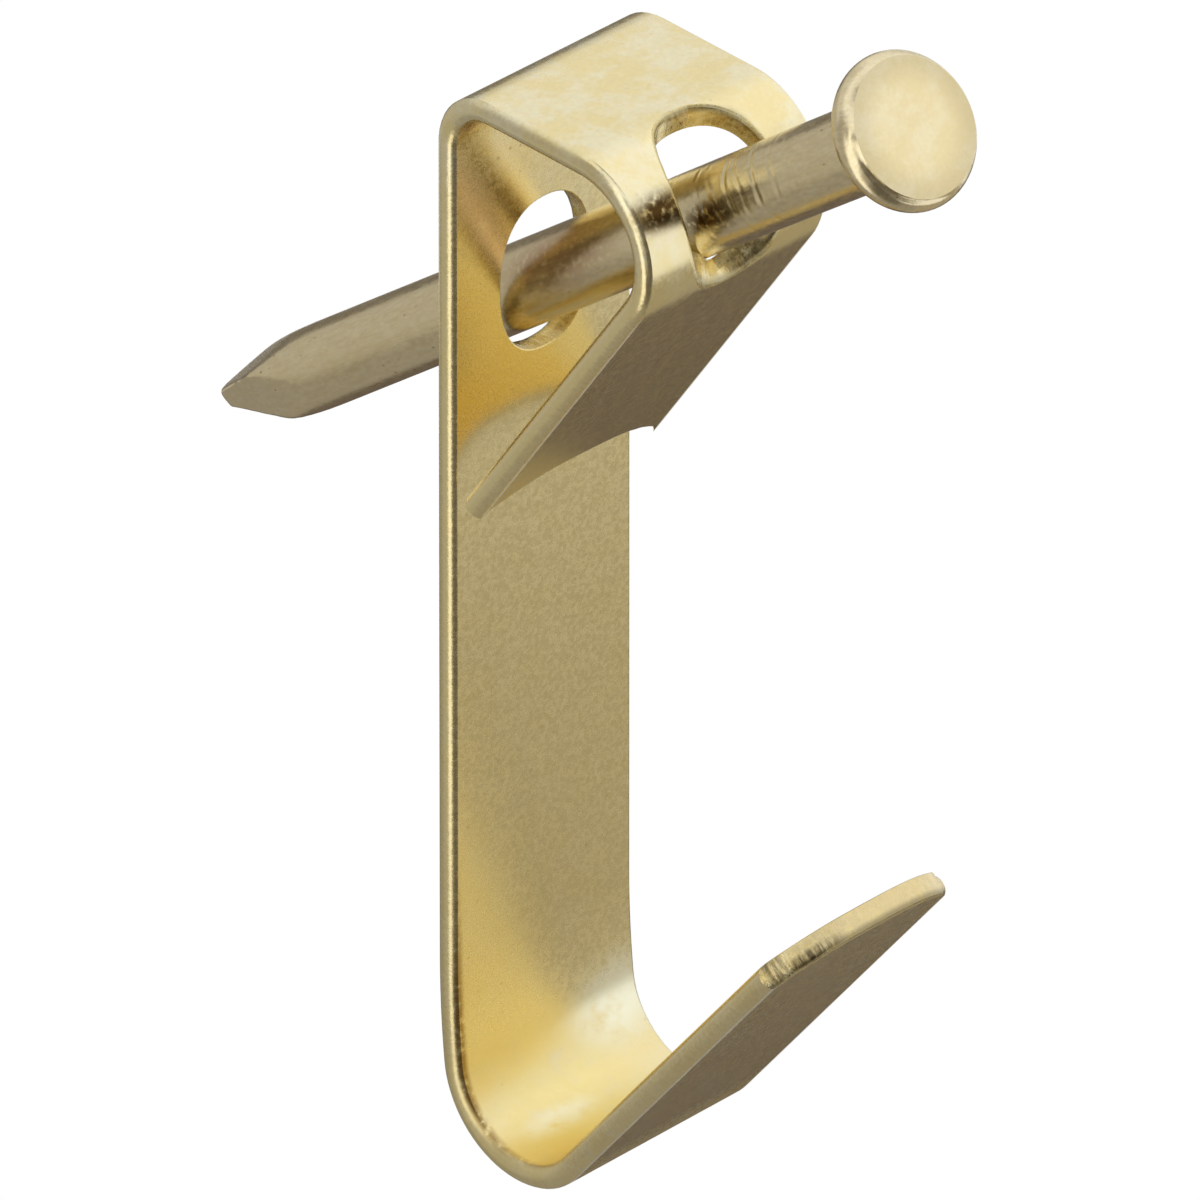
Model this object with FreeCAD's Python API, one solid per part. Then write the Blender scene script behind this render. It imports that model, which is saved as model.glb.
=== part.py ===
import FreeCAD, Part
import math
import os

from FreeCAD import Vector

# Picture hook: one folded strip of plated steel, and the slanted nail that fixes it to a wall.
# X runs across the strip, -Y points out from the wall and +Z points up.
# The origin is the point where the nail's axis leaves the strip through its wall face.

# Strip
strip_width = 9.95
strip_thickness = 1.0
edge_bulge = 0.3                # crown of the rolled long edges, which are round from face to face

# Loop at the top: fold at the wall, flat top, rounded front bend and slanting flap
top_height = 11.48              # top face above the origin
fold_radius = 1.85              # inside radius of the fold at the wall
front_reach = 12.0              # foremost point of the front bend, out from the wall face
front_bend_radius = 3.0         # inside radius of the front bend
flap_angle = 55.5               # slope of the flap below the horizontal, in degrees
flap_gap = 0.55                 # between the two corners of the flap's end and the back

# Hook at the bottom: a slow lead-in, the tight hook bend and the upturned lip
hook_drop = 37.4                # lowest point of the hook below the origin
lead_in_radius = 45.0           # inside radius of the slow bend above the hook bend
lead_in_angle = 6.0             # turn of the slow bend, in degrees
hook_bend_radius = 3.2          # inside radius of the hook bend
lip_angle = 51.2                # slope of the lip above the horizontal, in degrees
lip_length = 17.75              # straight part of the lip, to its two corners

# Ends: one curved parting cut leaves the lip rounded out and the flap hollowed in
parting_depth = 1.85

# Nail
nail_diameter = 3.42            # free end, driven into the wall
neck_swell = 0.16               # added to the diameter under the head, where the shank has swollen
free_length = 20.9              # origin to the tip
wall_relief = 2.2               # the free end keeps one diameter from this far behind the origin
head_stand_off = 11.75          # front hole to the underside of the head, along the nail
head_diameter = 6.5
head_thickness = 1.5
head_rim_bulge = 0.38           # crown of the head's round rim, which runs from the face to the underside
point_length = 6.0              # from the tip to the start of the four cut facets
point_flat = 0.75               # width of the blunt square tip
point_offset = 0.3              # tip above the nail's axis
point_turn = 20.0               # turn of the facets about the axis, in degrees

# Oval nail holes, punched before the strip is folded, with their room round the nail
back_hole_side_room = 0.72
back_hole_room_above = 2.28
back_hole_room_below = 0.25     # daylight under the nail at the wall face
front_hole_side_room = 0.81
front_hole_end_room = 1.97
front_hole_start = 0.29         # upper end of the front hole past the start of the front bend
nail_drop = 0.32                # nail's axis below the middle of the front hole, along the strip
oval_fullness = 2.3             # 2 is an ellipse, more is a fuller oval
oval_points = 32                # points that carry an oval round the front bend


def place(across, out, up):
    """Point in space from distances across the strip, out from the wall and up."""
    return Vector(across, -out, up)


def direction(angle):
    """Unit vector in the side view, at an angle in degrees from straight out towards up."""
    return place(0, math.cos(math.radians(angle)), math.sin(math.radians(angle)))


def run(start, heading, length):
    """Straight run of the strip's middle line: its edge and its end."""
    end = start + direction(heading) * length
    return Part.makeLine(start, end), end


def bend(start, heading, inside_radius, turn):
    """Bend of the middle line: its edge, its end and the new heading. A positive turn goes upwards."""
    radius = inside_radius + half_thickness
    side = math.copysign(90, turn)
    centre = start + direction(heading + side) * radius
    middle = centre + direction(heading - side + turn / 2) * radius
    end = centre + direction(heading - side + turn) * radius
    return Part.Arc(start, middle, end).toShape(), end, heading + turn


def front_place(across, along, height):
    """Point on the folded front from flat distances: along starts where the front bend starts."""
    bend_length = front_middle_radius * math.radians(front_turn)
    in_bend = min(max(along, 0), bend_length)
    turned = math.degrees(in_bend / front_middle_radius)
    outward = direction(90 - turned)
    onward = direction(-turned)
    point = front_centre + outward * (front_middle_radius + height) + onward * (along - in_bend)
    return point + Vector(across, 0, 0)


half_thickness = strip_thickness / 2
half_width = strip_width / 2
front_turn = 180 - flap_angle
front_middle_radius = front_bend_radius + half_thickness
front_centre = place(
    0,
    front_reach - strip_thickness - front_bend_radius,
    top_height - strip_thickness - front_bend_radius,
)

# Back: it runs up at half a thickness from the wall, between the lead-in and the fold
lead_in_sine = math.sin(math.radians(lead_in_angle))
back_bottom = (
    -hook_drop
    + (lead_in_radius + strip_thickness) * lead_in_sine
    + (hook_bend_radius + strip_thickness) * (1 - lead_in_sine)
)
back_foot = place(0, half_thickness, back_bottom)
back_head = place(0, half_thickness, top_height - strip_thickness - fold_radius)
back_edge = Part.makeLine(back_foot, back_head)

# Loop, upwards and round from the back
top_run = -front_centre.y - strip_thickness - fold_radius
fold_edge, fold_end, top_heading = bend(back_head, 90, fold_radius, -90)
top_edge, front_start = run(fold_end, top_heading, top_run)
front_edge, front_end, flap_heading = bend(front_start, top_heading, front_bend_radius, -front_turn)
flap_inside = front_end + direction(flap_heading - 90) * half_thickness
flap_length = (-flap_inside.y - strip_thickness - flap_gap) / math.cos(math.radians(flap_angle))
flap_edge, flap_end = run(front_end, flap_heading, flap_length)

# Hook, downwards and round from the back
hook_turn = 90 - lead_in_angle + lip_angle
lead_edge, lead_end, hook_heading = bend(back_foot, -90, lead_in_radius, lead_in_angle)
hook_edge, hook_end, lip_heading = bend(lead_end, hook_heading, hook_bend_radius, hook_turn)
lip_edge, lip_end = run(hook_end, lip_heading, lip_length + parting_depth)

# Nail: its axis runs from the origin through the front hole
front_hole_width = nail_diameter + 2 * front_hole_side_room
front_hole_length = nail_diameter + 2 * front_hole_end_room
front_hole_middle = front_hole_start + front_hole_length / 2
nail_crossing = front_place(0, front_hole_middle + nail_drop, 0)
nail_slope = math.degrees(math.atan2(nail_crossing.z, -nail_crossing.y))
nail_length = free_length + nail_crossing.Length + head_stand_off + head_thickness

# Back hole: the nail lies close above its lower end
nail_half_height = nail_diameter / 2 / math.cos(math.radians(nail_slope))
back_hole_bottom = -nail_half_height - back_hole_room_below
back_hole_top = nail_half_height + back_hole_room_above


def strip_section():
    """Section of the strip at the end of the lip: a flat bar with rolled round edges."""
    through = direction(lip_heading + 90) * half_thickness
    crown = Vector(half_width, 0, 0)
    face_edge = Vector(half_width - edge_bulge, 0, 0)
    corners = [face_edge + through, face_edge - through, -face_edge - through, -face_edge + through]
    right_top, right_bottom, left_bottom, left_top = [lip_end + corner for corner in corners]
    return Part.Wire([
        Part.Arc(right_top, lip_end + crown, right_bottom).toShape(),
        Part.makeLine(right_bottom, left_bottom),
        Part.Arc(left_bottom, lip_end - crown, left_top).toShape(),
        Part.makeLine(left_top, right_top),
    ])


def oval(width, length):
    """Points of a flat oval, as distances across and along the strip."""
    points = []
    for number in range(oval_points):
        angle = 2 * math.pi * number / oval_points
        cosine = math.cos(angle)
        sine = math.sin(angle)
        across = math.copysign(abs(cosine) ** (2 / oval_fullness), cosine) * width / 2
        along = math.copysign(abs(sine) ** (2 / oval_fullness), sine) * length / 2
        points.append((across, along))
    return points


def closed_curve(points):
    """Smooth closed edge through points."""
    curve = Part.BSplineCurve()
    curve.interpolate(points, PeriodicFlag=True)
    return curve.toShape()


def punch(first_rim, second_rim):
    """Solid between two rims of a hole, with straight walls from one to the other."""
    rims = [closed_curve(first_rim), closed_curve(second_rim)]
    wall = Part.makeRuledSurface(rims[0], rims[1])
    lids = [Part.makeFilledFace([rim]) for rim in rims]
    return Part.Solid(Part.makeShell([wall] + lids))


def front_hole_tool():
    """Solid that the front hole takes out: the flat oval carried square through the bent strip."""
    outline = oval(front_hole_width, front_hole_length)
    rims = []
    for height in (2 * strip_thickness, -strip_thickness):
        rims.append([front_place(across, front_hole_middle + along, height) for across, along in outline])
    return punch(rims[0], rims[1])


def back_hole_tool():
    """Solid that the back hole takes out, straight through the back."""
    middle = (back_hole_top + back_hole_bottom) / 2
    outline = oval(nail_diameter + 2 * back_hole_side_room, back_hole_top - back_hole_bottom)
    rims = []
    for out in (2 * strip_thickness, -strip_thickness):
        rims.append([place(across, out, middle + along) for across, along in outline])
    return punch(rims[0], rims[1])


def through_strip(outline, heading):
    """Solid that cuts a flat outline through a straight run of the strip."""
    through = direction(heading + 90) * strip_thickness
    blank = Part.Face(outline)
    blank.translate(-through)
    return blank.extrude(through * 2)


def parting_segment(corner_line, heading):
    """Segment between the line of an end's two corners and the curved parting cut."""
    left = corner_line - Vector(half_width, 0, 0)
    right = corner_line + Vector(half_width, 0, 0)
    crown = corner_line + direction(heading) * parting_depth
    outline = Part.Wire([Part.Arc(left, crown, right).toShape(), Part.makeLine(right, left)])
    return through_strip(outline, heading)


def lip_waste():
    """What the parting cut takes off the square end of the lip."""
    corner_line = hook_end + direction(lip_heading) * lip_length
    beyond = direction(lip_heading) * 2 * parting_depth
    left = corner_line - Vector(strip_width, 0, 0)
    right = corner_line + Vector(strip_width, 0, 0)
    outline = Part.makePolygon([left, right, right + beyond, left + beyond, left])
    return through_strip(outline, lip_heading).cut(parting_segment(corner_line, lip_heading))


def make_hook_strip():
    """The folded strip: its section swept along the folds, its ends parted and its holes punched."""
    path = [lip_edge, hook_edge, lead_edge, back_edge, fold_edge, top_edge, front_edge, flap_edge]
    spine = Part.Wire(Part.__sortEdges__(path))
    strip = spine.makePipeShell([strip_section()], True, False)
    flap_waste = parting_segment(flap_end, flap_heading + 180)
    for waste in (lip_waste(), flap_waste, back_hole_tool(), front_hole_tool()):
        strip = strip.cut(waste)
    return strip


def point_square(width, shift, height):
    """Square outline across the nail's axis, turned as the facets are."""
    half = width / 2
    square = Part.makePolygon([
        Vector(half, half, height),
        Vector(-half, half, height),
        Vector(-half, -half, height),
        Vector(half, -half, height),
        Vector(half, half, height),
    ])
    square.rotate(Vector(), Vector(0, 0, 1), point_turn)
    square.translate(Vector(0, shift, 0))
    return square


def nail_point():
    """Free end of the nail: a round bar pinched to four facets with a blunt tip off its axis."""
    bar = Part.makeCylinder(nail_diameter / 2, point_length)
    root = point_square(nail_diameter, 0, point_length)
    tip = point_square(point_flat, point_offset, 0)
    return bar.common(Part.makeLoft([root, tip], True, True))


def nail_shank():
    """Shank and head turned about the nail's axis, from the start of the facets upwards."""
    free_radius = nail_diameter / 2
    underside = nail_length - head_thickness
    flat_radius = head_diameter / 2 - head_rim_bulge
    bottom = Vector(0, 0, point_length)
    free_start = Vector(free_radius, 0, point_length)
    taper_start = Vector(free_radius, 0, free_length - wall_relief)
    neck = Vector(free_radius + neck_swell / 2, 0, underside)
    rim_back = Vector(flat_radius, 0, underside)
    rim_crown = Vector(head_diameter / 2, 0, nail_length - head_thickness / 2)
    rim_front = Vector(flat_radius, 0, nail_length)
    top = Vector(0, 0, nail_length)
    outline = Part.Wire([
        Part.makeLine(bottom, free_start),
        Part.makeLine(free_start, taper_start),
        Part.makeLine(taper_start, neck),
        Part.makeLine(neck, rim_back),
        Part.Arc(rim_back, rim_crown, rim_front).toShape(),
        Part.makeLine(rim_front, top),
        Part.makeLine(top, bottom),
    ])
    return Part.Face(outline).revolve(Vector(), Vector(0, 0, 1), 360)


def make_nail():
    """The nail, stood on its point, then laid along its slope with the head up and out."""
    nail = nail_point().fuse(nail_shank()).removeSplitter()
    nail.translate(Vector(0, 0, -free_length))
    nail.rotate(Vector(), Vector(1, 0, 0), 90 - nail_slope)
    return nail


pieces = {
    "hook_strip": make_hook_strip(),
    "nail": make_nail(),
}

os.makedirs("parts", exist_ok=True)
for name, shape in pieces.items():
    print(name, shape.isValid(), len(shape.Solids), "solid,", round(shape.Volume, 2), "mm3")
    shape.exportStep(f"parts/{name}.step")
print("nail slope", round(nail_slope, 2), "degrees, length", round(nail_length, 2), "mm")
print("flap length", round(flap_length, 2), "mm")
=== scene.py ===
# %% [markdown]
# A picture hook with its nail
#
# The real thing is two pieces. One is a strip of brass-plated steel that is punched, cut off and folded:
# a hook at the bottom, a loop at the top, and two oval holes through the loop. The other is a thick nail
# that hangs in the two holes. The CAD model gives the frame: the strip's width, height and drop are read
# from it, and each piece's size is printed beside its CAD part's.

import math

import bmesh
import bpy
from mathutils import Matrix, Vector, noise


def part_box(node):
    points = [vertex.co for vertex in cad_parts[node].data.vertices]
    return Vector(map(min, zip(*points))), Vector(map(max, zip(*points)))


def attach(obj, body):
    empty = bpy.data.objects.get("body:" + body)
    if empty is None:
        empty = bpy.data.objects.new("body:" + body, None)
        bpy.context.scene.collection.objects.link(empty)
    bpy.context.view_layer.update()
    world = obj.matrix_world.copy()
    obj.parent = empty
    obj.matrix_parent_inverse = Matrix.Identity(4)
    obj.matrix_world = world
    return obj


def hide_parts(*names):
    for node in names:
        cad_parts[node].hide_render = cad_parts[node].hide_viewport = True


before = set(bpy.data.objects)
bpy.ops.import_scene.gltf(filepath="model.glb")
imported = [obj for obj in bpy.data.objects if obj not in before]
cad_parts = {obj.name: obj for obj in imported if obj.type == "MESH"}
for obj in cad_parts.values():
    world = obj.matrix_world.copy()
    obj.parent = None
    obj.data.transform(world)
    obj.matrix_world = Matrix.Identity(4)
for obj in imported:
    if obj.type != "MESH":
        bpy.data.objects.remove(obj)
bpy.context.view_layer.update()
strip_low, strip_high = [corner * 1000 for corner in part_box("hook_strip")]
print("strip from", strip_low, "to", strip_high, "mm")

# %% [markdown]
# Working in millimetres
#
# Bevels and merges in Blender have small fixed limits, and a hook five centimetres tall is close to them
# when it is built in metres. So each piece is modelled with one unit for a millimetre, and scaled down
# to metres as its last step. The helpers below start a piece, pick what the next operator works on by its
# place, press points to a formula, and finish the piece.

# %% Helpers for picking and finishing
MILLIMETRE = 0.001


def start_piece(name):
    """Takes the new primitive as a piece of its own and opens it for editing."""
    piece = bpy.context.object
    piece.name = name
    piece.data.name = name
    bpy.ops.object.mode_set(mode="EDIT")
    return piece


def pick(kind, test):
    """Selects, in edit mode, only the verts, edges or faces that pass the test."""
    bpy.ops.mesh.select_all(action="DESELECT")
    bpy.ops.mesh.select_mode(type={"verts": "VERT", "edges": "EDGE", "faces": "FACE"}[kind])
    mesh = bpy.context.edit_object.data
    cells = bmesh.from_edit_mesh(mesh)
    picked = [part for part in getattr(cells, kind) if test(part)]
    for part in picked:
        part.select_set(True)
    cells.select_flush_mode()
    bmesh.update_edit_mesh(mesh)
    return len(picked)


def press(move, only_selected=False):
    """Moves each vertex of the piece in edit mode to the place that the function gives for it."""
    mesh = bpy.context.edit_object.data
    cells = bmesh.from_edit_mesh(mesh)
    for vert in cells.verts:
        if vert.select or not only_selected:
            vert.co = move(vert.co.copy())
    bmesh.update_edit_mesh(mesh)


def finish_piece(piece, smooth_degrees):
    """Brings a piece from millimetres to metres, turns its faces outwards and shades it."""
    bpy.ops.mesh.select_all(action="SELECT")
    bpy.ops.mesh.normals_make_consistent(inside=False)
    scale = (MILLIMETRE, MILLIMETRE, MILLIMETRE)
    bpy.ops.transform.resize(value=scale, center_override=(0, 0, 0))
    bpy.ops.object.mode_set(mode="OBJECT")
    bpy.ops.object.shade_smooth_by_angle(angle=math.radians(smooth_degrees))
    print(piece.name, len(piece.data.vertices), "points", len(piece.data.polygons), "faces")


bpy.ops.object.select_all(action="DESELECT")

# %% [markdown]
# The strip, laid out flat
#
# A folded strip is easiest to make the way the factory makes it: flat first, with its holes and its cut
# ends, and folded last. The blank is read from the lip's end to the flap's end as straight runs and bends,
# each with its length or with its inside radius and turn. All bends turn the same way.

# %% The blank's runs and bends
strip_width = strip_high.x - strip_low.x
strip_thickness = 1.0
half_width = strip_width / 2
half_thickness = strip_thickness / 2
top_height = strip_high.z
hook_drop = -strip_low.z
lip_length = 17.75
lip_angle = 51.2
hook_bend_radius = 3.2
lead_in_radius = 45.0
lead_in_angle = 6.0
fold_radius = 1.85
front_reach = 12.0
front_bend_radius = 3.0
flap_angle = 55.5
flap_length = 15.75

lean = math.sin(math.radians(lead_in_angle))
lead_in_rise = (lead_in_radius + strip_thickness) * lean
back_bottom = -hook_drop + lead_in_rise + (hook_bend_radius + strip_thickness) * (1 - lean)
back_top = top_height - strip_thickness - fold_radius
top_run = front_reach - 2 * strip_thickness - fold_radius - front_bend_radius
stretches = {
    "lip": (lip_length, 0),
    "hook bend": (hook_bend_radius, 90 - lead_in_angle + lip_angle),
    "lead-in": (lead_in_radius, lead_in_angle),
    "back": (back_top - back_bottom, 0),
    "fold": (fold_radius, 90),
    "top": (top_run, 0),
    "front bend": (front_bend_radius, 180 - flap_angle),
    "flap": (flap_length, 0),
}


def lay_out(runs, heading):
    """Chains the runs and bends from the lip's end as (start, length, place, heading, radius), by name."""
    chain = {}
    start = 0.0
    place = Vector((0, 0))
    for name, (size, turn) in runs.items():
        radius = size + half_thickness if turn else 0.0
        length = radius * math.radians(turn) if turn else size
        chain[name] = (start, length, place.copy(), heading, radius)
        if turn:
            centre = place + radius * Vector((math.sin(heading), -math.cos(heading)))
            heading -= math.radians(turn)
            place = centre - radius * Vector((math.sin(heading), -math.cos(heading)))
        else:
            place = place + length * Vector((math.cos(heading), math.sin(heading)))
        start += length
    return chain, start


chain, blank_length = lay_out(stretches, math.radians(180 + lip_angle))
print("blank is", round(blank_length, 2), "mm long and", round(strip_width, 2), "mm wide")

# %% [markdown]
# A grid for the blank
#
# A grid primitive gives even cells that fold without kinks. It starts narrower than the strip, and its
# long sides are extruded outwards once, so that a row of cells is left for the rounded edges.

# %% Add the grid
cell = 0.32
edge_column = 0.45
inner_width = strip_width - 2 * edge_column

bpy.ops.mesh.primitive_grid_add(
    x_subdivisions=round(inner_width / cell),
    y_subdivisions=round(blank_length / cell),
    size=1,
    location=(0, 0, 0),
)
strip = start_piece("folded_strip")
bpy.ops.transform.resize(value=(inner_width, blank_length, 1))
bpy.ops.transform.translate(value=(0, blank_length / 2, -half_thickness))
for side in (-1, 1):
    pick("edges", lambda edge: all(side * v.co.x > inner_width / 2 - 0.001 for v in edge.verts))
    bpy.ops.mesh.extrude_edges_move(
        TRANSFORM_OT_translate={"value": (side * edge_column, 0, 0)}
    )
print("grid has", len(bmesh.from_edit_mesh(strip.data).faces), "cells")

# %% [markdown]
# Two punched ovals
#
# The holes are fuller than ellipses, so they are drawn as superellipses. Each one starts as a window of
# deleted cells. The window's rim is extruded inwards in a few rings, and each ring is pressed towards the
# oval along its own ray, which keeps the cells tidy all the way round.

# %% Punch the holes
oval_fullness = 2.3
window_room = 0.75
ring_shares = (0.34, 0.55, 1.0)
nail_half_height = 2.155
room_above, room_below = 2.28, 0.25
back_hole_width, back_hole_shift = 4.86, 0.13
front_hole_width, front_hole_shift = 5.04, -0.03
front_hole_length, front_hole_start = 7.36, 0.29
holes = {
    "back": (
        Vector((back_hole_shift, chain["back"][0] + (room_above - room_below) / 2 - back_bottom)),
        Vector((back_hole_width / 2, nail_half_height + (room_above + room_below) / 2)),
    ),
    "front": (
        Vector((front_hole_shift, chain["front bend"][0] + front_hole_start + front_hole_length / 2)),
        Vector((front_hole_width / 2, front_hole_length / 2)),
    ),
}


def oval_share(place, centre, half):
    """How far a place on the blank is from a hole's centre, where 1 is on the oval."""
    x, y = abs(place.x - centre.x) / half.x, abs(place.y - centre.y) / half.y
    return (x**oval_fullness + y**oval_fullness) ** (1 / oval_fullness)


def in_window(place, centre, half):
    """True for places in the window of cells that is cleared for a hole."""
    across = abs(place.x - centre.x) < half.x + window_room
    return across and abs(place.y - centre.y) < half.y + window_room


for name, (centre, half) in holes.items():
    pick("faces", lambda face: in_window(face.calc_center_median(), centre, half))
    bpy.ops.mesh.delete(type="FACE")
    rim = pick(
        "edges",
        lambda edge: edge.is_boundary
        and all(in_window(v.co, centre, half + Vector((cell, cell))) for v in edge.verts),
    )
    for share in ring_shares:
        bpy.ops.mesh.extrude_edges_move(TRANSFORM_OT_translate={"value": (0, 0, 0)})

        def towards_oval(place):
            """Moves a point of the ring a share of the way to the oval."""
            flat = Vector((place.x, place.y))
            on_oval = centre + (flat - centre) / oval_share(flat, centre, half)
            flat = flat.lerp(on_oval, share)
            return Vector((flat.x, flat.y, place.z))

        press(towards_oval, only_selected=True)
    print(name, "hole has", rim, "points round its rim")

# %% [markdown]
# Cut ends and the thickness of the sheet
#
# One curved cut parts each strip from the next, so the lip's end bulges by as much as the flap's end is
# hollow. The rows near both ends are pressed along by that curve. Then the sheet is extruded to its
# thickness in thin layers, so that every edge has rows that can be rounded or torn.

# %% Bow the ends and extrude the layers
parting_depth = 1.85
parting_fullness = 2.7
parting_blend = 6.0
layer_levels = (-0.5, -0.47, -0.43, -0.38, -0.3, -0.2, -0.1, 0, 0.1, 0.2, 0.3, 0.38, 0.43, 0.47, 0.5)


def parting(across):
    """How far the curved cut runs past the corners of an end."""
    return parting_depth * (1 - min(1.0, abs(across) / half_width) ** parting_fullness)


def bow(place):
    """Presses the rows near an end along by the curved cut, less with every row."""
    from_end = min(place.y, blank_length - place.y)
    share = max(0.0, 1 - from_end / parting_blend) ** 1.5
    return Vector((place.x, place.y - share * parting(place.x), place.z))


press(bow)
bpy.ops.mesh.select_mode(type="FACE")
bpy.ops.mesh.select_all(action="SELECT")
for below, above in zip(layer_levels, layer_levels[1:]):
    rise = (above - below) * strip_thickness
    bpy.ops.mesh.extrude_region_move(TRANSFORM_OT_translate={"value": (0, 0, rise)})
print("sheet has", len(bmesh.from_edit_mesh(strip.data).faces), "faces with its walls")

# %% [markdown]
# Rolled long edges and torn walls
#
# The strip is like wire that was rolled flat, so its long edges are barrels. The punch and the shear leave
# another kind of edge: a soft roll where the tool went in, and a band with small notches. The lower
# corners of the front hole lean in a little, because the bend squeezed them. Pressing the layers gives all
# of these, and the walls get a finish of their own.

# %% Shape the edges
edge_bulge = 0.3
edge_radius = (edge_bulge**2 + half_thickness**2) / (2 * edge_bulge)
roll_depth = 0.17
exit_round = 0.05
tear_depth = 0.03
corner_fade = 0.5
corner_lean = 0.9
close = 0.002


def rolled_back(depth_from_face, size):
    """How far a rounded edge steps back, at a depth below the face."""
    short = max(0.0, 1 - depth_from_face / size)
    return size * (1 - math.sqrt(1 - short**2))


def step_back(place):
    """How far a cut wall steps back at its height: rolled where the tool went in, torn where it came out."""
    entry = rolled_back(place.z + half_thickness, roll_depth)
    leaving = rolled_back(half_thickness - place.z, exit_round)
    torn = max(0.0, -place.z / half_thickness) ** 0.5
    notch = noise.noise(Vector((place.x * 2.6, place.y * 2.6, place.z * 1.2)))
    return entry + leaving + torn * tear_depth * (0.5 + notch)


def squeezed(facing):
    """How far the bend squeezed a hole's wall: most at its two lower corners, and not at all above."""
    return max(0.0, facing.y) * min(1.0, 0.08 + 3 * abs(facing.x)) ** 1.2


def shape_edges(place):
    """Presses a point of a cut wall or of a long edge to the shape of that edge."""
    x, y, z = place
    lip_end = abs(y + parting(x)) < close
    flap_end = abs(y - blank_length + parting(x)) < close
    if lip_end or flap_end:
        fade = min(1.0, (half_width - abs(x)) / corner_fade)
        y += step_back(place) * fade * (1 if lip_end else -1)
    for name, (centre, half) in holes.items():
        if abs(oval_share(place, centre, half) - 1) < close:
            facing = (Vector((x, y)) - centre).normalized()
            leans = corner_lean * squeezed(facing) * (z + half_thickness) if name == "front" else 0.0
            out = facing * (step_back(place) - leans)
            x, y = x + out.x, y + out.y
    if abs(abs(place.x) - half_width) < close:
        barrel = edge_radius - math.sqrt(edge_radius**2 - z**2)
        x = math.copysign(half_width - barrel, place.x)
    return Vector((x, y, z))


def is_cut(face):
    """True for the walls that the punch and the shear left, which stand on edge away from the long sides."""
    middle = face.calc_center_median()
    return abs(face.normal.z) < 0.5 and abs(abs(middle.x) - half_width) > 0.01


print("long edges are barrels of", round(edge_radius, 2), "mm radius")

# %% Give the walls their own finish and press the edges
cut_walls = pick("faces", is_cut)
strip.data.materials.clear()
for finish in ("rolled_brass", "sheared_brass"):
    strip.data.materials.append(bpy.data.materials.new(finish))
    strip.data.materials[finish].use_nodes = True
strip.active_material_index = 1
bpy.ops.object.material_slot_assign()
press(shape_edges)
print(cut_walls, "faces on the punched and sheared walls")

# %% [markdown]
# Folding
#
# A bend deformer can't turn four bends with different radii at once, so each point is folded by its own
# place: the distance along the blank says which run or bend it is in, and the height in the sheet says how
# far it is from the middle line. The real hook isn't folded quite square, so its bottom rolls a little to
# one side. The flat place is kept as an attribute, so patterns can follow the metal.

# %% Fold the blank
fold_start = chain["fold"][2]
shift = Vector((half_thickness, back_top)) - fold_start
hook_roll = 0.026
roll_start, roll_blend = 4.0, 9.0


def fold(place):
    """Place of a point of the flat blank after folding."""
    name = [key for key, stretch in chain.items() if stretch[0] <= place.y or key == "lip"][-1]
    start, _, corner, heading, radius = chain[name]
    along = place.y - start
    if radius:
        inward = Vector((math.sin(heading), -math.cos(heading)))
        centre = corner + radius * inward
        heading -= along / radius
        inward = Vector((math.sin(heading), -math.cos(heading)))
        middle = centre - radius * inward
    else:
        inward = Vector((math.sin(heading), -math.cos(heading)))
        middle = corner + along * Vector((math.cos(heading), math.sin(heading)))
    out, up = middle + shift + place.z * inward
    in_hook = min(1.0, max(0.0, (chain["back"][0] + roll_start - place.y) / roll_blend))
    return Vector((place.x, -out, up + hook_roll * place.x * in_hook))


bpy.ops.object.mode_set(mode="OBJECT")
flat_place = strip.data.attributes.new("flat", "FLOAT_VECTOR", "POINT")
for point in strip.data.vertices:
    flat_place.data[point.index].vector = point.co
bpy.ops.object.mode_set(mode="EDIT")
press(fold)
finish_piece(strip, 29)

# %% [markdown]
# The nail
#
# A nail is a round body, so half of its outline is drawn as a chain of points and spun about its axis. It
# is drawn upright, with the tip at the bottom: a straight shank, a neck that swells a little towards the
# head, and a head like a thick coin, with a rim that is round below and nearly a cone towards the face. Rows
# are close together where the grips will bite.

# %% Sizes of the nail
nail_radius = 1.71
neck_radius = 1.79
free_length = 20.9
nail_length = 48.38
head_radius = 6.5 / 2
head_thickness = 1.5
head_rim_bulge = 0.38
face_radius = head_radius - head_rim_bulge
underside = nail_length - head_thickness
point_length = 6.0
grip_start, grip_end = free_length + 11.6, free_length + 23.4
swell_start = free_length + 10
neck_fillet = ((0.0, 0.12), (0.04, 0.04), (0.14, 0.0))
rim_steps = 15
flare_to_face, flare_below = 1.8, 2.0
face_rings = (0.985, 0.96, 0.92, 0.8, 0.6, 0.4, 0.2)
nail_sides = 80


def rows(start, end, step):
    """Even heights from start up to, but without, end."""
    count = max(1, round((end - start) / step))
    return [start + (end - start) * i / count for i in range(count)]


def shank_radius(up):
    """Radius of the shank at a height, with the swelling towards the head."""
    share = (up - swell_start) / (underside - swell_start)
    return nail_radius + (neck_radius - nail_radius) * max(0.0, share)


print("nail is", nail_length, "mm long, with a head", 2 * head_radius, "mm wide")

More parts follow.
